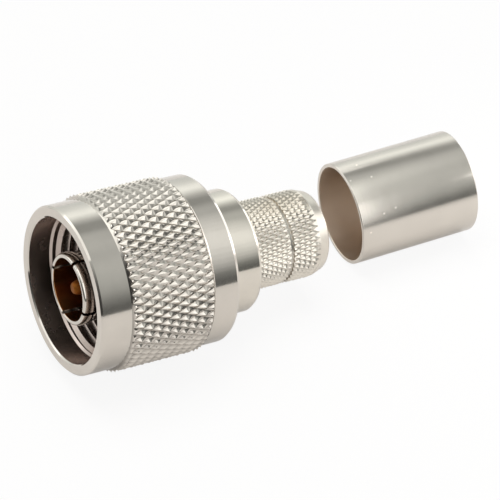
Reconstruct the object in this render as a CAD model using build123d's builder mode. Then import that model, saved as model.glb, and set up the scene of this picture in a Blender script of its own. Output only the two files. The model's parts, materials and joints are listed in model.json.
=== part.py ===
from build123d import *
import os
from math import atan2, cos, degrees, pi, radians, sin

# A coaxial crimp plug and its loose ferrule, lying on a table, in millimetres.
# Stations run along the plug's axis from the mating reference plane, which is the
# front rim of the outer contact, and grow towards the cable. The origin is the centre
# of that plane, +X points to the cable end and +Z up.

# mating interface
contact_front_d = 7.8
contact_bead_d = 8.16
contact_neck_d = 7.8
contact_bore_d = 7.0
contact_lead = 0.45
bead_length = 0.8
bead_fall = 0.35
slot_width = 0.42
slot_length = 5.6
slot_count = 4
slot_turn = 9.5
pin_d = 1.65
pin_nose_d = 1.1
pin_nose_length = 0.5
pin_recess = 0.6
pin_length = 4.8
pin_shank_d = 3.04
thread_minor_d = 14.86

# coupling nut
nut_lead = 0.7
nut_length = 16.85
mouth_d = 16.36
mouth_depth = 2.65
knurl_tip_d = 20.0
knurl_depth = 0.42
knurl_length = 9.8
front_ring_drop = 0.55
front_ring_length = 3.75
knurl_count = 63
knurl_pitch = 2.13
nut_run_in = 0.3
rear_ring_drop = 0.5
edge_chamfer = 0.2
relief_d = 16.1
relief_length = 1.9
nut_clearance = 0.08

# body and crimp stem
collar_d = 14.0
collar_length = 4.25
gasket_seat = 10.5
web_front = 14.0
web_length = 1.2
web_bore_d = 6.2
pot_bore_d = 7.0
stem_wall = 1.05
cable_bore_depth = 10.6
stem_length = 10.2
stem_tip_d = 10.14
stem_knurl_depth = 0.24
stem_core_depth = 0.08
stem_count = 46
stem_pitch = 1.2
stem_run_in = 0.15
stem_margin = 0.05
stem_groove_place = 5.0
stem_groove_width = 0.3
taper_length = 2.6
taper_fall = 0.39
taper_rounding = 0.45

# snap ring
ring_station = 14.2
ring_thickness = 0.9
ring_groove_width = 1.1
body_groove_d = 12.4
nut_groove_d = 15.2
ring_clearance = 0.15
ring_gap = 3.0

# inner pieces
contact_base_d = 9.76
contact_base_front = 9.0
press_clearance = 0.02
insulator_front = 10.0
insulator_groove_depth = 0.6
insulator_groove_width = 0.8
pot_d = 3.9
pot_length = 5.4
pot_hole_d = 2.8
pot_hole_depth = 4.4
sight_hole_d = 1.0
gasket_d = 14.4
gasket_thickness = 1.2
small_chamfer = 0.15

# loose ferrule
ferrule_d = 11.9
ferrule_bore_d = 11.02
ferrule_length = 14.75
ferrule_gap = 5.7
ferrule_side = 2.7
ferrule_turn = -4.2
ferrule_rounding = 0.12

# diameters worked out from the sizes above
knurl_root_d = knurl_tip_d - 2 * knurl_depth
front_ring_d = knurl_tip_d - 2 * front_ring_drop
rear_ring_d = knurl_tip_d - 2 * rear_ring_drop
stem_root_d = stem_tip_d - 2 * stem_knurl_depth
stem_core_d = stem_root_d - 2 * stem_core_depth
cable_bore_d = stem_core_d - 2 * stem_wall
taper_end_d = stem_tip_d - 2 * taper_fall

# stations worked out from the sizes above
nut_front = -nut_lead
nut_rear = nut_front + nut_length
knurl_start = nut_front + front_ring_length
knurl_end = knurl_start + knurl_length
knurl_rows = round(knurl_length / (knurl_pitch / 2))
collar_rear = nut_rear + collar_length
stem_end = collar_rear + stem_length
taper_start = stem_end - taper_length
pin_tip = pin_recess
pin_shoulder = pin_tip + pin_length
gasket_front = gasket_seat - gasket_thickness

# The plug lies tail down, on the last row of knurl tips and the rear edge of the nut.
last_tip_row = knurl_end - knurl_length / knurl_rows
nut_edge = nut_rear - edge_chamfer
tilt = atan2(rear_ring_drop, nut_edge - last_tip_row)
table_z = -last_tip_row * sin(tilt) - knurl_tip_d / 2 * cos(tilt)

axis_direction = (cos(tilt), 0, -sin(tilt))
up_direction = (sin(tilt), 0, cos(tilt))
plug_axis = Axis((0, 0, 0), axis_direction)
section = Plane((0, 0, 0), x_dir=axis_direction, z_dir=(0, -1, 0))
mating_plane = Plane((0, 0, 0), x_dir=up_direction, z_dir=axis_direction)

ferrule_heading = radians(ferrule_turn)
ferrule_direction = (cos(ferrule_heading), sin(ferrule_heading), 0)
ferrule_place = (stem_end * cos(tilt) + ferrule_gap, ferrule_side, table_z + ferrule_d / 2)
ferrule_axis = Axis(ferrule_place, ferrule_direction)
ferrule_section = Plane(
    ferrule_place,
    x_dir=ferrule_direction,
    z_dir=(sin(ferrule_heading), -cos(ferrule_heading), 0),
)


def nut_grip_d(station):
    """The grip's tips are level from end to end."""
    return knurl_tip_d


def stem_grip_d(station):
    """The stem's tips are level up to the taper and cut down along it."""
    past_start = max(station - taper_start, 0)
    return stem_tip_d - 2 * taper_fall * past_start / taper_length


def knurl_band(start, end, root_d, tip_d_at, count, rows, buried_d, run_in):
    """A solid bar with pyramids where two families of rolled grooves cross.

    Tips and groove crossings alternate on a lattice of half pitches. The tips reach
    tip_d_at their station. At each end the bar runs in to buried_d over run_in, to lie
    inside the turned blank.
    """
    half_pitch = (end - start) / rows
    steps = 2 * count

    def place(station, diameter, step):
        turn = pi + (step + rows - 1) * pi / count
        across = diameter / 2
        return mating_plane.from_local_coords(
            Vector(across * cos(turn), across * sin(turn), station)
        )

    def lattice_point(row, step):
        station = start + row * half_pitch
        is_tip = (row + step) % 2 == 0 and 0 < row < rows
        return place(station, tip_d_at(station) if is_tip else root_d, step % steps)

    def panel(*corners):
        return Face(Wire.make_polygon(corners))

    panels = []
    for row in range(1, rows):
        for step in range(row % 2, steps, 2):
            tip = lattice_point(row, step)
            corners = [
                lattice_point(row - 1, step),
                lattice_point(row, step + 1),
                lattice_point(row + 1, step),
                lattice_point(row, step - 1),
            ]
            for first, second in zip(corners, corners[1:] + corners[:1]):
                panels.append(panel(tip, first, second))
    for row, inner_row, outer in ((0, 1, start - run_in), (rows, rows - 1, end + run_in)):
        rim = range((row + 1) % 2, steps, 2)
        buried_rim = [place(outer, buried_d, step) for step in rim]
        for index, step in enumerate(rim):
            near = lattice_point(row, step)
            far = lattice_point(row, step + 2)
            panels.append(panel(near, far, lattice_point(inner_row, step + 1)))
            buried_far = buried_rim[(index + 1) % count]
            panels.append(panel(near, far, buried_far, buried_rim[index]))
        panels.append(panel(*buried_rim))
    return Solid(Shell(panels))


def outline(plane, points):
    """A closed outline of (station, radius) points, ready to revolve."""
    with BuildSketch(plane) as profile:
        with BuildLine():
            Polyline(*points, close=True)
        make_face()
    return profile.sketch


os.makedirs("parts", exist_ok=True)

# coupling nut: turned blank with a knurled grip, then bored
nut_grip = knurl_band(
    knurl_start,
    knurl_end,
    knurl_root_d,
    nut_grip_d,
    knurl_count,
    knurl_rows,
    knurl_root_d - 2 * nut_run_in,
    nut_run_in,
)
thread_start = nut_front + mouth_depth + (mouth_d - thread_minor_d) / 2
relief_start = gasket_front
relief_end = relief_start + relief_length
nut_bore_d = collar_d + 2 * nut_clearance
blank_middle = (knurl_start + knurl_end) / 2
with BuildPart() as coupling_nut:
    profile_points = [
        (nut_front, 0),
        (nut_front, front_ring_d / 2 - edge_chamfer),
        (nut_front + edge_chamfer, front_ring_d / 2),
        (blank_middle, front_ring_d / 2),
        (blank_middle, rear_ring_d / 2),
        (nut_edge, rear_ring_d / 2),
        (nut_rear, rear_ring_d / 2 - edge_chamfer),
        (nut_rear, 0),
    ]
    revolve(outline(section, profile_points), axis=plug_axis)
    add(nut_grip)
    profile_points = [
        (nut_front, 0),
        (nut_front, mouth_d / 2 + small_chamfer),
        (nut_front + small_chamfer, mouth_d / 2),
        (nut_front + mouth_depth, mouth_d / 2),
        (thread_start, thread_minor_d / 2),
        (relief_start, thread_minor_d / 2),
        (relief_start, relief_d / 2),
        (relief_end, relief_d / 2),
        (relief_end, nut_bore_d / 2),
        (ring_station - ring_groove_width / 2, nut_bore_d / 2),
        (ring_station - ring_groove_width / 2, nut_groove_d / 2),
        (ring_station + ring_groove_width / 2, nut_groove_d / 2),
        (ring_station + ring_groove_width / 2, nut_bore_d / 2),
        (nut_rear - small_chamfer, nut_bore_d / 2),
        (nut_rear, nut_bore_d / 2 + small_chamfer),
        (nut_rear, 0),
    ]
    revolve(outline(section, profile_points), axis=plug_axis, mode=Mode.SUBTRACT)
coupling_nut.part.label = "coupling_nut"
export_step(coupling_nut.part, "parts/coupling_nut.step")

# connector body: collar and crimp stem in one turned piece, knurled in two bands
groove_start = collar_rear + stem_groove_place
groove_end = groove_start + stem_groove_width
knurl_fade = taper_start + taper_length * stem_knurl_depth / taper_fall
stem_bands = []
for band_start, band_end in (
    (collar_rear + stem_margin, groove_start - stem_margin),
    (groove_end + stem_margin, knurl_fade - stem_margin),
):
    stem_bands.append(
        knurl_band(
            band_start,
            band_end,
            stem_root_d,
            stem_grip_d,
            stem_count,
            round((band_end - band_start) / (stem_pitch / 2)),
            stem_root_d - 2 * stem_run_in,
            stem_run_in,
        )
    )
web_rear = web_front + web_length
cable_stop = stem_end - cable_bore_depth
contact_seat_d = contact_base_d + 2 * press_clearance
with BuildPart() as connector_body:
    profile_points = [
        (gasket_seat, 0),
        (gasket_seat, collar_d / 2 - edge_chamfer),
        (gasket_seat + edge_chamfer, collar_d / 2),
        (ring_station - ring_groove_width / 2, collar_d / 2),
        (ring_station - ring_groove_width / 2, body_groove_d / 2),
        (ring_station + ring_groove_width / 2, body_groove_d / 2),
        (ring_station + ring_groove_width / 2, collar_d / 2),
        (collar_rear - edge_chamfer, collar_d / 2),
        (collar_rear, collar_d / 2 - edge_chamfer),
        (collar_rear, stem_core_d / 2),
        (knurl_fade, stem_core_d / 2),
        (knurl_fade, stem_root_d / 2),
        (stem_end, taper_end_d / 2),
        (stem_end, 0),
    ]
    revolve(outline(section, profile_points), axis=plug_axis)
    fillet(connector_body.edges().group_by(plug_axis)[-1], taper_rounding)
    add(stem_bands)
    profile_points = [
        (gasket_seat, 0),
        (gasket_seat, contact_seat_d / 2),
        (web_front, contact_seat_d / 2),
        (web_front, web_bore_d / 2),
        (web_rear, web_bore_d / 2),
        (web_rear, pot_bore_d / 2),
        (cable_stop, pot_bore_d / 2),
        (cable_stop, cable_bore_d / 2),
        (stem_end - small_chamfer, cable_bore_d / 2),
        (stem_end, cable_bore_d / 2 + small_chamfer),
        (stem_end, 0),
    ]
    revolve(outline(section, profile_points), axis=plug_axis, mode=Mode.SUBTRACT)
connector_body.part.label = "connector_body"
export_step(connector_body.part, "parts/connector_body.step")

# outer contact: sprung sleeve with a bead near its rim, slotted into four fingers
bead_front = contact_lead
bead_rear = bead_front + bead_length
with BuildPart() as outer_contact:
    profile_points = [
        (0, contact_bore_d / 2 + small_chamfer),
        (0, contact_front_d / 2 - small_chamfer),
        (small_chamfer, contact_front_d / 2),
        (bead_front, contact_bead_d / 2),
        (bead_rear, contact_bead_d / 2),
        (bead_rear + bead_fall, contact_neck_d / 2),
        (contact_base_front, contact_neck_d / 2),
        (contact_base_front, contact_base_d / 2 - small_chamfer),
        (contact_base_front + small_chamfer, contact_base_d / 2),
        (web_front, contact_base_d / 2),
        (web_front, contact_bore_d / 2),
        (small_chamfer, contact_bore_d / 2),
    ]
    revolve(outline(section, profile_points), axis=plug_axis)
    with BuildSketch(mating_plane):
        with PolarLocations(contact_bead_d / 2, slot_count, start_angle=slot_turn):
            Rectangle(contact_bead_d / 2, slot_width)
    extrude(amount=slot_length, mode=Mode.SUBTRACT)
outer_contact.part.label = "outer_contact"
export_step(outer_contact.part, "parts/outer_contact.step")

# insulator: bead round the pin, with a shallow ring groove in its front face
insulator_d = contact_bore_d - 2 * press_clearance
insulator_bore_d = pin_shank_d + 2 * press_clearance
groove_middle_d = (insulator_d + insulator_bore_d) / 2
with BuildPart() as insulator:
    with BuildSketch(mating_plane.offset(insulator_front)):
        Circle(insulator_d / 2)
        Circle(insulator_bore_d / 2, mode=Mode.SUBTRACT)
    extrude(amount=web_front - insulator_front)
    with BuildSketch(mating_plane.offset(insulator_front)):
        Circle((groove_middle_d + insulator_groove_width) / 2)
        Circle((groove_middle_d - insulator_groove_width) / 2, mode=Mode.SUBTRACT)
    extrude(amount=insulator_groove_depth, mode=Mode.SUBTRACT)
insulator.part.label = "insulator"
export_step(insulator.part, "parts/insulator.step")

# centre contact: pin, shank and a pot for the cable's inner conductor
pot_front = web_front
pot_rear = pot_front + pot_length
sight_station = pot_rear - pot_hole_depth / 2
with BuildPart() as centre_contact:
    profile_points = [
        (pin_tip, 0),
        (pin_tip, pin_nose_d / 2),
        (pin_tip + pin_nose_length, pin_d / 2),
        (pin_shoulder, pin_d / 2),
        (pin_shoulder, pin_shank_d / 2 - small_chamfer),
        (pin_shoulder + small_chamfer, pin_shank_d / 2),
        (pot_front, pin_shank_d / 2),
        (pot_front, pot_d / 2),
        (pot_rear, pot_d / 2),
        (pot_rear, pot_hole_d / 2),
        (pot_rear - pot_hole_depth, pot_hole_d / 2),
        (pot_rear - pot_hole_depth, 0),
    ]
    revolve(outline(section, profile_points), axis=plug_axis)
    with BuildSketch(Plane(section.from_local_coords(Vector(sight_station, 0, 0)), z_dir=up_direction)):
        Circle(sight_hole_d / 2)
    extrude(amount=pot_d, mode=Mode.SUBTRACT)
centre_contact.part.label = "centre_contact"
export_step(centre_contact.part, "parts/centre_contact.step")

# gasket: soft ring on the body's front face, round the foot of the outer contact
with BuildPart() as gasket:
    with BuildSketch(mating_plane.offset(gasket_front)):
        Circle(gasket_d / 2)
        Circle(contact_base_d / 2 + press_clearance, mode=Mode.SUBTRACT)
    extrude(amount=gasket_thickness)
    fillet(gasket.edges().group_by(plug_axis)[0].sort_by(SortBy.LENGTH)[-1], gasket_thickness / 4)
gasket.part.label = "gasket"
export_step(gasket.part, "parts/gasket.step")

# snap ring: split spring ring, half in the body's groove and half in the nut's
with BuildPart() as snap_ring:
    with BuildSketch(mating_plane.offset(ring_station - ring_thickness / 2)):
        Circle(nut_groove_d / 2 - ring_clearance)
        Circle(body_groove_d / 2 + ring_clearance, mode=Mode.SUBTRACT)
        Rectangle(nut_groove_d, ring_gap, align=(Align.MIN, Align.CENTER), mode=Mode.SUBTRACT)
    extrude(amount=ring_thickness)
snap_ring.part.label = "snap_ring"
export_step(snap_ring.part, "parts/snap_ring.step")

# crimp ferrule: plain drawn tube, lying loose behind the stem
with BuildPart() as crimp_ferrule:
    profile_points = [
        (0, ferrule_bore_d / 2),
        (0, ferrule_d / 2),
        (ferrule_length, ferrule_d / 2),
        (ferrule_length, ferrule_bore_d / 2),
    ]
    revolve(outline(ferrule_section, profile_points), axis=ferrule_axis)
    fillet(crimp_ferrule.edges().filter_by(GeomType.CIRCLE), ferrule_rounding)
crimp_ferrule.part.label = "crimp_ferrule"
export_step(crimp_ferrule.part, "parts/crimp_ferrule.step")

print(f"tilt {degrees(tilt):.3f} degrees, table at z {table_z:.3f}")
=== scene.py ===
import json
import math
import bpy
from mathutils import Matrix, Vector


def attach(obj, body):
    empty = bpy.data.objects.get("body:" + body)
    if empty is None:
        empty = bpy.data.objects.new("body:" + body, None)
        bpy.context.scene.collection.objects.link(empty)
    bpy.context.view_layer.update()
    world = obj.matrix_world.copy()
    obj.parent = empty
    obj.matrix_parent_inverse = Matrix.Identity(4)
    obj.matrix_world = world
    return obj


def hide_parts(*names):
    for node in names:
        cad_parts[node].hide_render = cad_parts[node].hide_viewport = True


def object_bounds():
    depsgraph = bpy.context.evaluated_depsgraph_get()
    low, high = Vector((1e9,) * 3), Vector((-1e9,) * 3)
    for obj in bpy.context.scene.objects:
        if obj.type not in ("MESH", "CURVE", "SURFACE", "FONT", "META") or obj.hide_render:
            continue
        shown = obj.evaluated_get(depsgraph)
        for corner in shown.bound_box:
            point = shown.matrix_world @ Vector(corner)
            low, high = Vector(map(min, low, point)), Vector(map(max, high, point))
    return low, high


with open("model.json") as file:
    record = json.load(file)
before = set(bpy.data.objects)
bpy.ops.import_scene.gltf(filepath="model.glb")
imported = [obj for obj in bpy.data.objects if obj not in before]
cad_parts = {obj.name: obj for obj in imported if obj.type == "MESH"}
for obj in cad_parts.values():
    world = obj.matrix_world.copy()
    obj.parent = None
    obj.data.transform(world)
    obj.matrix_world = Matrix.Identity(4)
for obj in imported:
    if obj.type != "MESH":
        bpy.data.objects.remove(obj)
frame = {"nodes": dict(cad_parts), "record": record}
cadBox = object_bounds()
mm = 0.001
weld = 0.001  # points nearer than this many millimetres become one

# the plug's axis dips towards the cable end, the ferrule lies level at its own heading
spinAxis = frame["record"]["behaviour"]["joints"][0]["axis"]
plugDip = math.atan2(spinAxis[2], -spinAxis[0])
mounts = {m["name"]: m for m in frame["record"]["mounts"]}
ferruleAxis = mounts["ferrule_bore"]["axis"]
ferruleMiddle = mounts["ferrule_bore"]["pos_m"]
ferruleHeading = math.atan2(ferruleAxis[1], ferruleAxis[0])
tableHeight = cadBox[0][2]
print("frame loaded, plug dips", round(math.degrees(plugDip), 2), "degrees")


def hexToLinear(text):
    parts = [int(text[i:i + 2], 16) / 255 for i in (1, 3, 5)]
    return [c / 12.92 if c <= 0.04045 else ((c + 0.055) / 1.055) ** 2.4 for c in parts] + [1]


def addNode(tree, kind, inputs=None, **settings):
    node = tree.nodes.new(kind)
    for key, value in settings.items():
        setattr(node, key, value)
    for key, value in (inputs or {}).items():
        if isinstance(value, bpy.types.NodeSocket):
            tree.links.new(value, node.inputs[key])
        else:
            node.inputs[key].default_value = value
    return node


def newMaterial(name):
    material = bpy.data.materials.new(name)
    material.use_nodes = True
    tree = material.node_tree
    return material, tree, tree.nodes["Principled BSDF"]


def fillRamp(node, stops):
    ramp = node.color_ramp
    while len(ramp.elements) < len(stops):
        ramp.elements.new(1)
    for element, (place, value) in zip(ramp.elements, stops):
        element.position = place
        element.color = value


clouds = (0.3, 0.7)  # levels of a noise between which its clouds fade in
# what all nickel plate has in common, lengths and heights in millimetres
plating = {
    "markMm": 0.22, "markDepthMm": 0.002, "markStrength": 0.35, "cloudShade": 0.93, "blur": (0.85, 1.2),
    # grime is the colour of dirt and painted shade in grooves, full low on the table side and weaker higher
    # up
    "speckEdge": 1.8, "grooveDirtAndShade": "#2E2620", "dirtAndShadeHeights": (1.0, 5.0), "dirtAndShadeOnTop": 0.3, "brass": "#84714C",
}


# Nickel plate over turned brass: a warm grey mirror, blurred a little by tool marks that run round
# the axis, with faint cloudy handling marks, and dust where speck is more than 1. A knurled grip can
# have dirt and painted shade darkening its grooves, most on the table side, and a brass tint towards the top.
# grip: stations of the knurl; grime (dirt and painted shade): radius of the groove's floor, radius where it
# ends, strength;
# worn (brass tint): height where it starts, height where it is full, strength; dull: station, added
# roughness.
def nickelPlate(name, turn, color="#D3CCC3", roughness=0.1, cloudMm=3.0, speckMm=2.2, speckShare=0.02,
                speck=1.0, grip=(0, 0), gripRoughness=0.12, grooveDirtAndShade=(9, 10, 0), brassByHeight=(9, 10, 0), dull=(99, 0)):
    material, tree, shader = newMaterial(name)
    place = addNode(tree, "ShaderNodeTexCoord")
    along = addNode(tree, "ShaderNodeMapping", {"Vector": place.outputs["Object"], "Rotation": turn})
    split = addNode(tree, "ShaderNodeSeparateXYZ", {"Vector": along.outputs["Vector"]})
    marks = addNode(tree, "ShaderNodeTexNoise", {"W": split.outputs["X"],
                    "Scale": 1 / (plating["markMm"] * mm), "Detail": 3.0, "Roughness": 0.6},
                    noise_dimensions="1D")
    cloud = addNode(tree, "ShaderNodeTexNoise", {"Vector": place.outputs["Object"],
                    "Scale": 1 / (cloudMm * mm), "Detail": 4.0, "Roughness": 0.55})
    dust = addNode(tree, "ShaderNodeTexVoronoi", {"Vector": place.outputs["Object"],
                   "Scale": 1 / (speckMm * mm)})
    dustMask = addNode(tree, "ShaderNodeMapRange", {"Value": dust.outputs["Distance"], "From Min": speckShare,
                       "From Max": speckShare * plating["speckEdge"], "To Min": speck, "To Max": 1.0})
    tint = addNode(tree, "ShaderNodeValToRGB", {"Fac": cloud.outputs["Fac"]})
    base = hexToLinear(color)
    shaded = [c * plating["cloudShade"] for c in base[:3]] + [1]
    fillRamp(tint, list(zip(clouds, (shaded, base))))
    dusted = addNode(tree, "ShaderNodeMix", {"Factor": 1.0, "A": tint.outputs["Color"],
                     "B": dustMask.outputs["Result"]}, data_type="RGBA", blend_type="MULTIPLY")
    blur = addNode(tree, "ShaderNodeMapRange", {"Value": cloud.outputs["Fac"], "From Min": clouds[0],
                   "From Max": clouds[1], "To Min": roughness * plating["blur"][0],
                   "To Max": roughness * plating["blur"][1]})
    rolled = addNode(tree, "ShaderNodeMath", {0: split.outputs["X"], 1: (grip[0] + grip[1]) / 2 * mm,
                     2: (grip[1] - grip[0]) / 2 * mm}, operation="COMPARE")
    tail = addNode(tree, "ShaderNodeMath", {0: split.outputs["X"], 1: dull[0] * mm}, operation="GREATER_THAN")
    rubbed = addNode(tree, "ShaderNodeMath", {0: tail.outputs["Value"], 1: dull[1],
                     2: blur.outputs["Result"]}, operation="MULTIPLY_ADD")
    soft = addNode(tree, "ShaderNodeMath", {0: rolled.outputs["Value"], 1: gripRoughness,
                   2: rubbed.outputs["Value"]}, operation="MULTIPLY_ADD")
    bump = addNode(tree, "ShaderNodeBump", {"Height": marks.outputs["Fac"],
                   "Strength": plating["markStrength"], "Distance": plating["markDepthMm"] * mm})
    # dirt and painted shade: how deep in a groove and how near the table
    across = addNode(tree, "ShaderNodeVectorMath", {0: along.outputs["Vector"], 1: (0, 1, 1)},
                     operation="MULTIPLY")
    radius = addNode(tree, "ShaderNodeVectorMath", {0: across.outputs["Vector"]}, operation="LENGTH")
    deep = addNode(tree, "ShaderNodeMapRange", {"Value": radius.outputs["Value"], "From Min": grooveDirtAndShade[0] * mm,
                   "From Max": grooveDirtAndShade[1] * mm, "To Min": grooveDirtAndShade[2], "To Max": 0.0})
    low, high = plating["dirtAndShadeHeights"]
    under = addNode(tree, "ShaderNodeMapRange", {"Value": split.outputs["Z"], "From Min": low * mm,
                    "From Max": high * mm, "To Min": 1.0, "To Max": plating["dirtAndShadeOnTop"]})
    dirtAndShadeDepth = addNode(tree, "ShaderNodeMath", {0: deep.outputs["Result"], 1: under.outputs["Result"]},
                   operation="MULTIPLY")
    dirtAndShadeMask = addNode(tree, "ShaderNodeMath", {0: rolled.outputs["Value"], 1: dirtAndShadeDepth.outputs["Value"]},
                   operation="MULTIPLY")
    dirtAndShaded = addNode(tree, "ShaderNodeMix", {"Factor": dirtAndShadeMask.outputs["Value"], "A": dusted.outputs["Result"],
                     "B": hexToLinear(plating["grooveDirtAndShade"])}, data_type="RGBA")
    # the higher on the grip, the more brass tint shows, in clouds
    lifted = addNode(tree, "ShaderNodeMapRange", {"Value": split.outputs["Z"], "From Min": brassByHeight[0] * mm,
                     "From Max": brassByHeight[1] * mm, "To Min": 0.0, "To Max": brassByHeight[2]})
    thin = addNode(tree, "ShaderNodeMath", {0: lifted.outputs["Result"], 1: cloud.outputs["Fac"]},
                   operation="MULTIPLY")
    brass = addNode(tree, "ShaderNodeMath", {0: rolled.outputs["Value"], 1: thin.outputs["Value"]},
                    operation="MULTIPLY")
    plated = addNode(tree, "ShaderNodeMix", {"Factor": brass.outputs["Value"], "A": dirtAndShaded.outputs["Result"],
                     "B": hexToLinear(plating["brass"])}, data_type="RGBA")
    shader.inputs["Metallic"].default_value = 1.0
    tree.links.new(plated.outputs["Result"], shader.inputs["Base Color"])
    tree.links.new(soft.outputs["Value"], shader.inputs["Roughness"])
    tree.links.new(bump.outputs["Normal"], shader.inputs["Normal"])
    return material


# A finish of two close shades in soft clouds, with a raised grain where its depth is given
def mottledFinish(name, cloudMm, detail, shades, roughness, metallic=0.0, grainMm=0.0):
    material, tree, shader = newMaterial(name)
    place = addNode(tree, "ShaderNodeTexCoord")
    cloud = addNode(tree, "ShaderNodeTexNoise", {"Vector": place.outputs["Object"],
                    "Scale": 1 / (cloudMm * mm), "Detail": detail})
    tint = addNode(tree, "ShaderNodeValToRGB", {"Fac": cloud.outputs["Fac"]})
    fillRamp(tint, list(zip(clouds, [hexToLinear(s) for s in shades])))
    shader.inputs["Metallic"].default_value = metallic
    shader.inputs["Roughness"].default_value = roughness
    tree.links.new(tint.outputs["Color"], shader.inputs["Base Color"])
    if grainMm:
        bump = addNode(tree, "ShaderNodeBump", {"Height": cloud.outputs["Fac"], "Strength": 0.2,
                       "Distance": grainMm * mm})
        tree.links.new(bump.outputs["Normal"], shader.inputs["Normal"])
    return material


plugTurn = (0, -plugDip, 0)
ferruleTurn = (0, 0, -ferruleHeading)
# the knurl grooves of nut and stem are darkened by dirt and painted shade
nutNickel = nickelPlate("nickel plate, turned and knurled", plugTurn, grip=(2.9, 13.0), gripRoughness=0.04,
                        grooveDirtAndShade=(9.55, 9.76, 0.45))
bodyNickel = nickelPlate("nickel plate, turned", plugTurn, color="#DBD4C9", grip=(20.3, 29.1),
                         gripRoughness=0.12, grooveDirtAndShade=(4.8, 4.9, 0.3), brassByHeight=(4.2, 5.1, 0.7), dull=(29.1, 0.2))
# thin plate inside the nut: duller and a little pink
boreNickel = nickelPlate("nickel plate, thin inside the nut", plugTurn, color="#BCAEA6", roughness=0.25)
contactNickel = nickelPlate("nickel plate, sprung contact", plugTurn, roughness=0.08)
# the reamed bore of the sleeve: nickel, coloured amber as a painted reflection of the gold pin
sleeveAmberReflection = nickelPlate("nickel plate, reamed bore, painted amber reflection", plugTurn, color="#C08C58", roughness=0.22)
# the drawn tube: larger clouds and pale dust outside, dull inside
ferruleNickel = nickelPlate("nickel plate, drawn tube", ferruleTurn, roughness=0.17, cloudMm=6.0, speck=1.55,
                            speckShare=0.035)
tubeNickel = nickelPlate("nickel plate, dull inside of a drawn tube", ferruleTurn, color="#D1C0AF",
                         roughness=0.45, speck=1.5, speckShare=0.03, speckMm=3.0)
# gold plate deep in the bore: amber darkened as painted shade, with a soft glint
gold = mottledFinish("gold plate, satin, darkened as painted shade", cloudMm=0.8, detail=3.0, shades=("#7E4A1E", "#905A26"),
                     roughness=0.55, metallic=1.0)
# turned fluoropolymer: milky white and waxy, with a faint grain
bead = mottledFinish("turned white fluoropolymer", cloudMm=0.5, detail=4.0, shades=("#E4E2DB", "#F2F1EC"),
                     roughness=0.45, grainMm=0.01)
bead.node_tree.nodes["Principled BSDF"].inputs["IOR"].default_value = 1.35
# moulded silicone: red-brown, matt, a little mottled
silicone = mottledFinish("moulded silicone, red-brown", cloudMm=0.6, detail=5.0,
                         shades=("#3A1B14", "#4C261C"), roughness=0.6)
# spring wire: warm, dull bronze
bronze = mottledFinish("drawn spring bronze", cloudMm=0.7, detail=3.0, shades=("#A9814F", "#C59B66"),
                       roughness=0.35, metallic=1.0)
print("materials made")


def deselect():
    if bpy.context.object and bpy.context.object.mode != "OBJECT":
        bpy.ops.object.mode_set(mode="OBJECT")
    bpy.ops.object.select_all(action="DESELECT")


def pickVertices(piece, test):
    bpy.ops.object.mode_set(mode="EDIT")
    bpy.ops.mesh.select_mode(type="VERT")
    bpy.ops.mesh.select_all(action="DESELECT")
    bpy.ops.object.mode_set(mode="OBJECT")
    for vertex in piece.data.vertices:
        vertex.select = test(vertex.co)
    bpy.ops.object.mode_set(mode="EDIT")


# draws a closed outline of (station, radius) points in millimetres, as extruded vertices
def drawOutline(name, points):
    deselect()
    bpy.ops.mesh.primitive_plane_add(size=mm, location=(0, 0, 0))
    piece = bpy.context.object
    piece.name = name
    bpy.ops.object.mode_set(mode="EDIT")
    bpy.ops.mesh.select_all(action="SELECT")
    bpy.ops.mesh.merge(type="CENTER")
    here = (0, 0)
    for index, there in enumerate(points + points[:1]):
        step = ((there[0] - here[0]) * mm, 0, (there[1] - here[1]) * mm)
        if index == 0:
            bpy.ops.transform.translate(value=step)
        else:
            bpy.ops.mesh.extrude_region_move(TRANSFORM_OT_translate={"value": step})
        here = there
    bpy.ops.mesh.select_all(action="SELECT")
    bpy.ops.mesh.remove_doubles(threshold=weld * mm)
    return piece


# rounds the outline's corners that are listed as (station, radius, rounding)
def roundCorners(piece, corners, segments=9, reach=0.002):
    for station, radius, rounding in corners:
        def isCorner(co):
            return math.hypot(co.x - station * mm, co.z - radius * mm) < reach * mm
        pickVertices(piece, isCorner)
        bpy.ops.mesh.bevel(offset=rounding * mm, segments=segments, affect="VERTICES")


def spinRound(piece, steps):
    bpy.ops.mesh.select_all(action="SELECT")
    bpy.ops.mesh.spin(steps=steps, angle=2 * math.pi, center=(0, 0, 0), axis=(1, 0, 0))
    bpy.ops.mesh.select_all(action="SELECT")
    bpy.ops.mesh.remove_doubles(threshold=weld * mm)
    bpy.ops.mesh.normals_make_consistent(inside=False)
    bpy.ops.object.mode_set(mode="OBJECT")


def knurlRows(start, end, rows):
    return [start + (end - start) * row / rows for row in range(rows + 1)]


# where a crossing of the knurl's grid belongs: its shift along the axis and its radius
def knurlPoint(band, row, isTip):
    place = knurlRows(band["start"], band["end"], band["rows"])[row]
    limit = band["tip"] - max(place - band["taperStart"], 0) * band["taperSlope"]
    if row == band["rows"] and band["taperSlope"]:  # the pattern ends where the taper takes over
        return 0, limit
    if isTip and row in (0, band["rows"]):  # cut pyramids at the band's ends
        return band["cut"] if row == 0 else -band["cut"], min(band["endTip"], limit)
    return 0, min(band["peak"] if isTip else band["root"], limit + band["peak"] - band["tip"])


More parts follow.
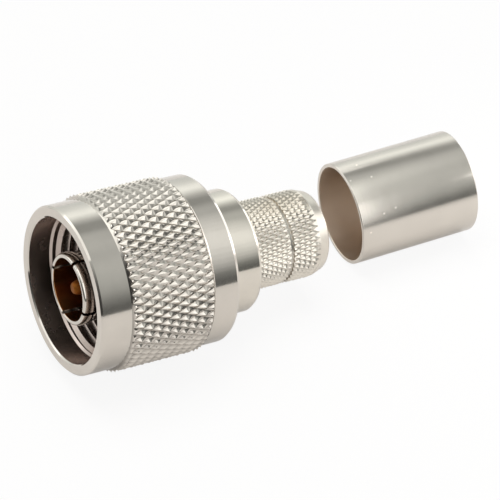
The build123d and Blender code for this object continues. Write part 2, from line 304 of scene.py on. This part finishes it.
# Raises every second crossing of the band's grid to a peak and parts each panel along its groove,
# which leaves pyramids between two families of rolled grooves. Rounding then lowers the peaks.
def raiseKnurl(piece, band, count, reach=0.004, margin=0.01, cuts=3):
    stations = knurlRows(band["start"], band["end"], band["rows"])
    stepAngle = math.pi / count
    pits = set()

    def pickRow(row, isTip):
        def test(co):
            if abs(co.x - stations[row] * mm) > reach * mm:
                return False
            if abs(math.hypot(co.y, co.z) - band["root"] * mm) > reach * mm:
                return False
            column = round(math.atan2(co.y, co.z) / stepAngle)
            return ((row + column + band["rows"] + count) % 2 == 1) == isTip
        pickVertices(piece, test)

    for row in range(band["rows"] + 1):
        for isTip in (True, False):
            shift, radius = knurlPoint(band, row, isTip)
            pickRow(row, isTip)
            if not isTip:
                bpy.ops.object.mode_set(mode="OBJECT")
                pits.update(v.index for v in piece.data.vertices if v.select)
                bpy.ops.object.mode_set(mode="EDIT")
            grow = radius / band["root"]
            bpy.ops.transform.resize(value=(1, grow, grow), center_override=(0, 0, 0))
            bpy.ops.transform.translate(value=(shift * mm, 0, 0))

    def inBand(co, inset):
        low, high = (stations[0] + inset) * mm, (stations[-1] - inset) * mm
        return low < co.x < high and math.hypot(co.y, co.z) > (band["root"] - margin) * mm

    # grooves run from pit to pit, they stay sharp while the pyramids between them are rounded
    bpy.ops.object.mode_set(mode="OBJECT")
    for vertex in piece.data.vertices:
        vertex.select = vertex.index in pits
    bpy.ops.object.mode_set(mode="EDIT")
    bpy.ops.mesh.vert_connect()
    bpy.ops.mesh.select_mode(type="EDGE")
    bpy.ops.mesh.select_all(action="DESELECT")
    bpy.ops.object.mode_set(mode="OBJECT")
    for edge in piece.data.edges:
        edge.select = pits.issuperset(edge.vertices)
    bpy.ops.object.mode_set(mode="EDIT")
    bpy.ops.mesh.mark_sharp()
    pickVertices(piece, lambda co: inBand(co, -margin))
    bpy.ops.mesh.subdivide(number_cuts=cuts)
    bpy.ops.mesh.select_all(action="DESELECT")
    bpy.ops.object.mode_set(mode="OBJECT")
    grooves = {i for e in piece.data.edges if e.use_edge_sharp for i in e.vertices}
    for vertex in piece.data.vertices:
        vertex.select = vertex.index not in grooves and inBand(vertex.co, band["cut"] + margin)
    bpy.ops.object.mode_set(mode="EDIT")
    bpy.ops.mesh.vertices_smooth(factor=0.5, repeat=band["rounding"])
    bpy.ops.object.mode_set(mode="OBJECT")


smoothAngle = 24  # degrees, sharper edges stay hard
boreReach = 0.02  # millimetres beyond a bore's radius within which faces belong to it


# gives a finished piece its place, finish and body; faces within the bore's radius get the lining
def settle(piece, material, body, node, place=(0, 0, 0), turn=None, lining=None, boreRadius=0):
    boreFaces = [f.index for f in piece.data.polygons
                 if math.hypot(f.center.y, f.center.z) < boreRadius * mm]
    deselect()
    piece.select_set(True)
    bpy.context.view_layer.objects.active = piece
    bpy.ops.object.shade_smooth_by_angle(angle=math.radians(smoothAngle))
    piece.rotation_euler = turn if turn else (0, plugDip, 0)
    piece.location = place
    bpy.ops.object.transform_apply(location=True, rotation=True, scale=True)
    piece.data.materials.clear()
    piece.data.materials.append(material)
    if lining:
        piece.data.materials.append(lining)
    for index in boreFaces:
        piece.data.polygons[index].material_index = 1
    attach(piece, body)
    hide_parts(node)
    print(piece.name, "has", len(piece.data.polygons), "faces")


# coupling nut: knurled grip between two smooth rings, threaded behind a plain mouth
nut = {
    "front": -0.7, "rear": 16.15, "frontRing": 9.45, "rearRing": 9.5, "edge": 0.2, "rearEdge": 0.34,
    "mouth": 8.18, "mouthDepth": 2.65, "wall": 7.94, "crest": 7.43, "pitch": 1.058, "threadLead": 0.35,
    "crestFlat": 0.2, "ridgeFoot": 0.96, "ridgeSunk": 0.04, "turns": 6, "stepsPerTurn": 96,
    "relief": 8.05, "reliefStart": 9.3, "reliefEnd": 11.2, "bore": 7.08, "grooveStart": 13.65,
    "grooveEnd": 14.75, "groove": 7.6, "count": 63, "lip": 0.15,
}
nutBand = {
    "start": 3.05, "end": 12.85, "rows": 9, "root": 9.58, "tip": 10.0, "peak": 10.72, "endTip": 9.92,
    "cut": 0.15, "rounding": 19, "frontChamfer": 0.14, "rearChamfer": 0.24, "runOut": 0.03, "rearRise": 0.04,
    "taperStart": 99, "taperSlope": 0,  # no taper
}


def makeNut():
    front, rear = nut["front"], nut["rear"]
    start, end, root = nutBand["start"], nutBand["end"], nutBand["root"]
    shoulder = front + nut["mouthDepth"]
    outside = [(front, nut["frontRing"] - nut["edge"]), (front + nut["edge"], nut["frontRing"]),
               (start - nutBand["frontChamfer"], nut["frontRing"]), (start - nutBand["runOut"], root)]
    outside += [(s, root) for s in knurlRows(start, end, nutBand["rows"])]
    outside += [(end + nutBand["runOut"], root + nutBand["rearRise"]),
                (end + nutBand["rearChamfer"], nut["rearRing"]), (rear - nut["rearEdge"], nut["rearRing"]),
                (rear, nut["rearRing"] - nut["edge"])]
    inside = [(rear, nut["bore"] + nut["lip"]), (rear - nut["lip"], nut["bore"]),
              (nut["grooveEnd"], nut["bore"]), (nut["grooveEnd"], nut["groove"]),
              (nut["grooveStart"], nut["groove"]), (nut["grooveStart"], nut["bore"]),
              (nut["reliefEnd"], nut["bore"]), (nut["reliefEnd"], nut["relief"]),
              (nut["reliefStart"], nut["relief"]), (nut["reliefStart"], nut["wall"]),
              (shoulder + nut["mouth"] - nut["wall"], nut["wall"]), (shoulder, nut["mouth"]),
              (front + nut["lip"], nut["mouth"]), (front, nut["mouth"] + nut["lip"])]
    piece = drawOutline("couplingNut", outside + inside)
    spinRound(piece, 2 * nut["count"])
    raiseKnurl(piece, nutBand, nut["count"])
    return piece


# the thread is one ridge wound inside the nut, its foot just inside the wall
def makeThread():
    start = nut["front"] + nut["mouthDepth"] + nut["threadLead"]
    foot, flat = nut["ridgeFoot"] / 2, nut["crestFlat"] / 2
    sunk = nut["wall"] + nut["ridgeSunk"]
    piece = drawOutline("nutThread", [(start - foot, sunk), (start - flat, nut["crest"]),
                                      (start + flat, nut["crest"]), (start + foot, sunk)])
    bpy.ops.object.mode_set(mode="OBJECT")
    winding = piece.modifiers.new("winding", "SCREW")
    winding.axis = "X"
    winding.screw_offset = nut["pitch"] * mm
    winding.iterations = nut["turns"]
    winding.steps = nut["stepsPerTurn"]
    winding.render_steps = nut["stepsPerTurn"]
    bpy.ops.object.modifier_apply(modifier="winding")
    bpy.ops.object.mode_set(mode="EDIT")
    bpy.ops.mesh.select_all(action="SELECT")
    bpy.ops.mesh.fill_holes(sides=8)
    bpy.ops.mesh.select_all(action="SELECT")
    bpy.ops.mesh.normals_make_consistent(inside=False)
    bpy.ops.object.mode_set(mode="OBJECT")
    return piece


couplingNut = makeNut()
nutThread = makeThread()
deselect()
nutThread.select_set(True)
couplingNut.select_set(True)
bpy.context.view_layer.objects.active = couplingNut
bpy.ops.object.join()
settle(couplingNut, nutNickel, "nut", "coupling_nut", lining=boreNickel,
       boreRadius=nut["mouth"] + boreReach)

# connector body: smooth collar, then the crimp stem with two knurled bands and a plain taper
body = {
    "front": 10.5, "collar": 7.0, "collarRear": 20.4, "edge": 0.2, "rearEdge": 0.34, "grooveStart": 13.65,
    "grooveEnd": 14.75, "groove": 6.2, "core": 4.8, "bandGap": 0.01, "end": 30.6, "endRadius": 4.58,
    "endRounding": 0.45, "seat": 4.9, "web": 14.0, "webRear": 15.2, "webBore": 3.1, "potBore": 3.5,
    "cableStop": 20.0, "cableBore": 3.7, "lip": 0.15, "count": 46,
}
stemBand = {"root": 4.83, "tip": 5.07, "peak": 5.25, "endTip": 5.06, "cut": 0.02, "rounding": 7}
stemBands = [
    {"start": 20.42, "end": 25.35, "rows": 8, "taperStart": 99, "taperSlope": 0, **stemBand},  # no taper
    {"start": 25.75, "end": 29.2, "rows": 5, "taperStart": 28.0, "taperSlope": 0.08, **stemBand},
]


def makeBody():
    outside = [(body["front"], body["collar"] - body["edge"]), (body["front"] + body["edge"], body["collar"]),
               (body["grooveStart"], body["collar"]), (body["grooveStart"], body["groove"]),
               (body["grooveEnd"], body["groove"]), (body["grooveEnd"], body["collar"]),
               (body["collarRear"] - body["rearEdge"], body["collar"]),
               (body["collarRear"], body["collar"] - body["edge"]), (body["collarRear"], body["core"])]
    for band in stemBands:
        outside.append((band["start"] - body["bandGap"], body["core"]))
        outside += [(s, band["root"]) for s in knurlRows(band["start"], band["end"], band["rows"])]
        if band["taperSlope"] == 0:
            outside.append((band["end"] + body["bandGap"], body["core"]))
    outside.append((body["end"], body["endRadius"]))
    inside = [(body["end"], body["cableBore"] + body["lip"]), (body["end"] - body["lip"], body["cableBore"]),
              (body["cableStop"], body["cableBore"]), (body["cableStop"], body["potBore"]),
              (body["webRear"], body["potBore"]), (body["webRear"], body["webBore"]),
              (body["web"], body["webBore"]), (body["web"], body["seat"]), (body["front"], body["seat"])]
    piece = drawOutline("connectorBody", outside + inside)
    roundCorners(piece, [(body["end"], body["endRadius"], body["endRounding"])])
    spinRound(piece, 2 * body["count"])
    for band in stemBands:
        raiseKnurl(piece, band, body["count"])
    return piece


settle(makeBody(), bodyNickel, "plug", "connector_body")

# outer contact: sleeve with a bead near the rim, slotted into sprung fingers
contact = {
    "frontRadius": 3.9, "bead": 4.08, "neck": 3.9, "bore": 3.5, "lead": 0.45, "beadEnd": 1.25,
    "neckStart": 1.6, "baseFront": 9.0, "base": 4.88, "end": 14.0, "lip": 0.15, "steps": 144,
    "slotWidth": 0.42, "slotLength": 5.6, "slotTurn": 9.5, "slots": 4,
}


def makeContact():
    points = [(0, contact["bore"]), (0, contact["frontRadius"]), (contact["lead"], contact["bead"]),
              (contact["beadEnd"], contact["bead"]), (contact["neckStart"], contact["neck"]),
              (contact["baseFront"], contact["neck"]), (contact["baseFront"], contact["base"]),
              (contact["end"], contact["base"]), (contact["end"], contact["bore"])]
    piece = drawOutline("outerContact", points)
    roundCorners(piece, [(0, contact["bore"], contact["lip"]), (0, contact["frontRadius"], contact["lip"])])
    spinRound(piece, contact["steps"])
    for slot in range(contact["slots"]):
        turn = math.radians(contact["slotTurn"] + slot * 360 / contact["slots"])
        deselect()
        reach = contact["bead"] * mm
        bpy.ops.mesh.primitive_cube_add(size=1, location=(0, 0, 0))
        cutter = bpy.context.object
        cutter.scale = (2 * contact["slotLength"] * mm, contact["slotWidth"] * mm, reach)
        cutter.location = (0, -math.sin(turn) * reach, math.cos(turn) * reach)
        cutter.rotation_euler = (turn, 0, 0)
        bpy.ops.object.transform_apply(location=True, rotation=True, scale=True)
        deselect()
        piece.select_set(True)
        bpy.context.view_layer.objects.active = piece
        cut = piece.modifiers.new("slot", "BOOLEAN")
        cut.object = cutter
        cut.solver = "EXACT"
        bpy.ops.object.modifier_apply(modifier="slot")
        bpy.data.objects.remove(cutter, do_unlink=True)
    return piece


# the sleeve's bore is lined with the painted amber reflection of the pin
settle(makeContact(), contactNickel, "plug", "outer_contact", lining=sleeveAmberReflection,
       boreRadius=contact["bore"] + boreReach)

# centre contact: pin with a rounded nose, thicker shank, pot for the inner conductor
pin = {
    "tip": 0.6, "nose": 0.55, "noseEnd": 1.1, "radius": 0.825, "shoulder": 5.4, "shank": 1.52,
    "potStart": 14.0, "pot": 1.95, "potEnd": 19.4, "hole": 1.4, "holeEnd": 15.0, "middle": 0.01,
    "noseRounding": 0.2, "neckRounding": 0.3, "shoulderRounding": 0.15, "steps": 64,
}


def makePin():
    points = [(pin["tip"], pin["middle"]), (pin["tip"], pin["nose"]), (pin["noseEnd"], pin["radius"]),
              (pin["shoulder"], pin["radius"]), (pin["shoulder"], pin["shank"]),
              (pin["potStart"], pin["shank"]), (pin["potStart"], pin["pot"]), (pin["potEnd"], pin["pot"]),
              (pin["potEnd"], pin["hole"]), (pin["holeEnd"], pin["hole"]),
              (pin["holeEnd"], pin["middle"])]
    piece = drawOutline("centreContact", points)
    roundCorners(piece, [(pin["tip"], pin["nose"], pin["noseRounding"]),
                         (pin["noseEnd"], pin["radius"], pin["neckRounding"]),
                         (pin["shoulder"], pin["shank"], pin["shoulderRounding"])])
    spinRound(piece, pin["steps"])
    return piece


# the pin's gold is darkened as painted shade
settle(makePin(), gold, "plug", "centre_contact")

# insulator bead, with a ring groove in its front face
beadSize = {"front": 10.0, "rear": 14.0, "radius": 3.48, "bore": 1.54, "grooveDepth": 0.6,
            "grooveIn": 2.11, "grooveOut": 2.91, "steps": 96}
beadPoints = [(beadSize["front"], beadSize["bore"]), (beadSize["front"], beadSize["grooveIn"]),
              (beadSize["front"] + beadSize["grooveDepth"], beadSize["grooveIn"]),
              (beadSize["front"] + beadSize["grooveDepth"], beadSize["grooveOut"]),
              (beadSize["front"], beadSize["grooveOut"]), (beadSize["front"], beadSize["radius"]),
              (beadSize["rear"], beadSize["radius"]), (beadSize["rear"], beadSize["bore"])]
insulator = drawOutline("insulatorBead", beadPoints)
spinRound(insulator, beadSize["steps"])
settle(insulator, bead, "plug", "insulator")

# gasket on the body's front face
seal = {"front": 9.3, "rear": 10.5, "radius": 7.2, "bore": 4.9, "rounding": 0.3, "steps": 96}
sealRing = drawOutline("sealRing", [(seal["front"], seal["bore"]), (seal["front"], seal["radius"]),
                                    (seal["rear"], seal["radius"]), (seal["rear"], seal["bore"])])
roundCorners(sealRing, [(seal["front"], seal["radius"], seal["rounding"])])
spinRound(sealRing, seal["steps"])
settle(sealRing, silicone, "plug", "gasket")

# crimp ferrule: plain tube with softly rounded rims
tube = {"length": 14.75, "radius": 5.95, "bore": 5.51, "rim": 0.12, "steps": 192}
tubePoints = [(0, tube["bore"]), (0, tube["radius"]), (tube["length"], tube["radius"]),
              (tube["length"], tube["bore"])]
ferrule = drawOutline("crimpFerrule", tubePoints)
roundCorners(ferrule, [(s, r, tube["rim"]) for s, r in tubePoints])
spinRound(ferrule, tube["steps"])
halfTube = tube["length"] / 2 * mm
ferrulePlace = [m - halfTube * a for m, a in zip(ferruleMiddle, ferruleAxis)]
settle(ferrule, ferruleNickel, "plug", "crimp_ferrule", ferrulePlace,
       (0, 0, ferruleHeading), lining=tubeNickel, boreRadius=tube["bore"] + tube["rim"] / 4)

# the split ring keeps its own solid
snapRing = frame["nodes"]["snap_ring"]
snapRing.data.materials.clear()
snapRing.data.materials.append(bronze)
print("pieces made")

# floor: a sheet of white paper, with the shade of what stands on it
sheet = {"size": 0.3, "middle": 0.05, "color": "#F4F2EF", "roughness": 0.9, "glowToEye": 0.9,
         "glowToMetal": 0.24}
deselect()
bpy.ops.mesh.primitive_plane_add(size=sheet["size"], location=(sheet["middle"], sheet["middle"], tableHeight))
floor = bpy.context.object
floor.name = "paperFloor"
floorMaterial, floorTree, floorShader = newMaterial("matt white paper")
floorShader.inputs["Base Color"].default_value = hexToLinear(sheet["color"])
floorShader.inputs["Roughness"].default_value = sheet["roughness"]
rays = addNode(floorTree, "ShaderNodeLightPath")
toEye = addNode(floorTree, "ShaderNodeMath", {0: rays.outputs["Is Camera Ray"], 1: sheet["glowToEye"]},
                operation="MULTIPLY")
share = addNode(floorTree, "ShaderNodeMath", {0: rays.outputs["Is Glossy Ray"], 1: sheet["glowToMetal"],
                2: toEye.outputs["Value"]}, operation="MULTIPLY_ADD")
glow = addNode(floorTree, "ShaderNodeEmission", {"Color": (1, 1, 1, 1), "Strength": 1.0})
paper = addNode(floorTree, "ShaderNodeMixShader", {0: share.outputs["Value"], 1: floorShader.outputs["BSDF"],
                2: glow.outputs["Emission"]})
floorTree.links.new(paper.outputs["Shader"], floorTree.nodes["Material Output"].inputs["Surface"])
floor.data.materials.append(floorMaterial)

# room light by height in degrees: a bright low band on the far side, a dark one on the near side
room = {
    "lowest": -10, "tint": (0.96, 1.0, 0.98),
    "far": [(-10, 0.85), (3, 0.88), (14, 1.05), (21, 1.3), (27, 1.4), (33, 1.05), (38, 0.7), (44, 0.42),
            (51, 0.43), (56, 0.56), (60, 0.68), (65, 0.74), (73, 1.0), (90, 1.05)],
    "right": [(-10, 0.08), (15, 0.14), (24, 0.3), (28, 0.44), (31, 0.64), (34, 0.78), (40, 0.78), (44, 0.68),
              (52, 0.62), (57, 0.65), (62, 0.74), (72, 1.0), (90, 1.05)],
    "near": [(-10, 0.15), (0, 0.17), (10, 0.32), (20, 0.5), (30, 0.6), (42, 0.67), (55, 0.74), (62, 0.77),
             (72, 1.0), (90, 1.05)],
    # by heading, the shares of far and right
    "sides": [(-110, 0, 0), (-80, 1, 0), (55, 1, 0), (76, 0, 1), (118, 0, 1), (138, 0, 0)],
    "darkHeading": -100, "darkHeight": -5, "darkSpread": (45, 20), "dark": 0.06,
}
world = bpy.data.worlds.new("soft room")
bpy.context.scene.world = world
world.use_nodes = True
world.cycles_visibility.diffuse = False  # the metal mirrors the room, the paper has its own lamp
sky = world.node_tree
direction = addNode(sky, "ShaderNodeTexCoord")
split = addNode(sky, "ShaderNodeSeparateXYZ", {"Vector": direction.outputs["Generated"]})
height = addNode(sky, "ShaderNodeMath", {0: split.outputs["Z"]}, operation="ARCSINE")
level = addNode(sky, "ShaderNodeMapRange", {"Value": height.outputs["Value"],
                "From Min": math.radians(room["lowest"]), "From Max": math.pi / 2})


def roomSide(stops):
    span = 90 - room["lowest"]
    ramp = addNode(sky, "ShaderNodeValToRGB", {"Fac": level.outputs["Result"]})
    fillRamp(ramp, [((h - room["lowest"]) / span, [v * t for t in room["tint"]] + [1]) for h, v in stops])
    return ramp.outputs["Color"]


heading = addNode(sky, "ShaderNodeMath", {0: split.outputs["X"], 1: split.outputs["Y"]}, operation="ARCTAN2")
round360 = addNode(sky, "ShaderNodeMapRange", {"Value": heading.outputs["Value"], "From Min": -math.pi,
                   "From Max": math.pi})
sides = addNode(sky, "ShaderNodeValToRGB", {"Fac": round360.outputs["Result"]})
fillRamp(sides, [((h + 180) / 360, [far, right, 0, 1]) for h, far, right in room["sides"]])
shares = addNode(sky, "ShaderNodeSeparateColor", {"Color": sides.outputs["Color"]})
twoSides = addNode(sky, "ShaderNodeMix", {"Factor": shares.outputs["Red"], "A": roomSide(room["near"]),
                   "B": roomSide(room["far"])}, data_type="RGBA")
mixed = addNode(sky, "ShaderNodeMix", {"Factor": shares.outputs["Green"], "A": twoSides.outputs["Result"],
                "B": roomSide(room["right"])}, data_type="RGBA")
# a dark corner of the room, low in front of the plug
corner, cornerHeight = math.radians(room["darkHeading"]), math.radians(room["darkHeight"])
towards = addNode(sky, "ShaderNodeVectorMath", {0: direction.outputs["Generated"],
                  1: (math.sin(corner) * math.cos(cornerHeight), math.cos(corner) * math.cos(cornerHeight),
                      math.sin(cornerHeight))}, operation="DOT_PRODUCT")
shade = addNode(sky, "ShaderNodeMapRange", {"Value": towards.outputs["Value"],
                "From Min": math.cos(math.radians(room["darkSpread"][0])),
                "From Max": math.cos(math.radians(room["darkSpread"][1]))})
shaded = addNode(sky, "ShaderNodeMix", {"Factor": shade.outputs["Result"], "A": mixed.outputs["Result"],
                 "B": (room["dark"], room["dark"], room["dark"], 1)}, data_type="RGBA")
eye = addNode(sky, "ShaderNodeLightPath")
shown = addNode(sky, "ShaderNodeMix", {"Factor": eye.outputs["Is Camera Ray"], "A": shaded.outputs["Result"],
                "B": (1, 1, 1, 1)}, data_type="RGBA")
sky.links.new(shown.outputs["Result"], sky.nodes["Background"].inputs["Color"])


# a softbox at a heading and height as seen from a place in millimetres, facing it, turned by roll
def addSoftbox(name, heading, height, distance, width, depth, brightness, seenFrom=(20, 0, 0), roll=0):
    turn, lift = math.radians(heading), math.radians(height)
    way = (math.sin(turn) * math.cos(lift), math.cos(turn) * math.cos(lift), math.sin(lift))
    bpy.ops.object.light_add(type="AREA", location=[p * mm + distance * w for p, w in zip(seenFrom, way)],
                             rotation=(math.pi / 2 - lift, 0, math.pi - turn))
    lamp = bpy.context.object
    lamp.name = name
    lamp.rotation_euler.rotate_axis("Z", math.radians(roll))
    lamp.data.shape = "RECTANGLE"
    lamp.data.size = width
    lamp.data.size_y = depth
    lamp.data.energy = brightness * math.pi * width * depth  # brightness 1 looks white
    lamp.visible_camera = False
    return lamp


addSoftbox("leftSoftbox", heading=-32, height=43, distance=0.5, width=1.05, depth=0.38, brightness=0.7)
addSoftbox("frontSoftbox", heading=-177, height=27, distance=0.5, width=0.33, depth=0.45, brightness=1.25)
addSoftbox("topSoftbox", heading=-174, height=74, distance=0.45, width=0.29, depth=0.36, brightness=0.75)
addSoftbox("lowCard", heading=178, height=-3, distance=0.3, width=0.13, depth=0.065, brightness=0.55)
addSoftbox("edgeCard", heading=82, height=4, distance=0.3, width=0.25, depth=0.094, brightness=1.75)
# a small card close to the stem, for its taper
addSoftbox("stemCard", heading=106, height=11.5, distance=0.05, width=0.036, depth=0.032, brightness=1.6,
           seenFrom=(30.2, -2.5, 0))
# a soft-edged strip beside the rear ring, in layers so that its middle is the brightest
strip = {"layers": 6, "nearest": 0.045, "width": 0.008, "wider": 0.002, "depth": 0.018, "deeper": 0.012}
for layer in range(strip["layers"]):
    addSoftbox("sideStrip", heading=141, height=40, distance=strip["nearest"] + layer * mm,
               width=strip["width"] + strip["wider"] * layer, depth=strip["depth"] + strip["deeper"] * layer,
               brightness=0.08, seenFrom=(19.2, 0.0, 6.1), roll=-34)
# lights the paper from above, unseen in the metal
paperLight = addSoftbox("paperLight", heading=0, height=85, distance=0.5, width=0.4, depth=0.4,
                        brightness=3.8)
paperLight.visible_glossy = False
print("stage and light made")

# camera: long lens from the front left, looking down on the plug
lens = {"azimuth": -29.51, "elevation": 38.84, "distance": 330, "lookAt": (20.65, -3.62, -0.11),
        "focal": 216, "sensor": 36, "nearest": 0.01}
turnAbout, rise = math.radians(lens["azimuth"]), math.radians(lens["elevation"])
back = (math.sin(turnAbout) * math.cos(rise), -math.cos(turnAbout) * math.cos(rise), math.sin(rise))
bpy.ops.object.camera_add(location=[(p + lens["distance"] * b) * mm for p, b in zip(lens["lookAt"], back)],
                          rotation=(math.pi / 2 - rise, 0, turnAbout))
camera = bpy.context.object
camera.name = "productCamera"
camera.data.lens = lens["focal"]
camera.data.sensor_width = lens["sensor"]
camera.data.clip_start = lens["nearest"]
bpy.context.scene.camera = camera
bpy.context.scene.view_settings.view_transform = "Standard"
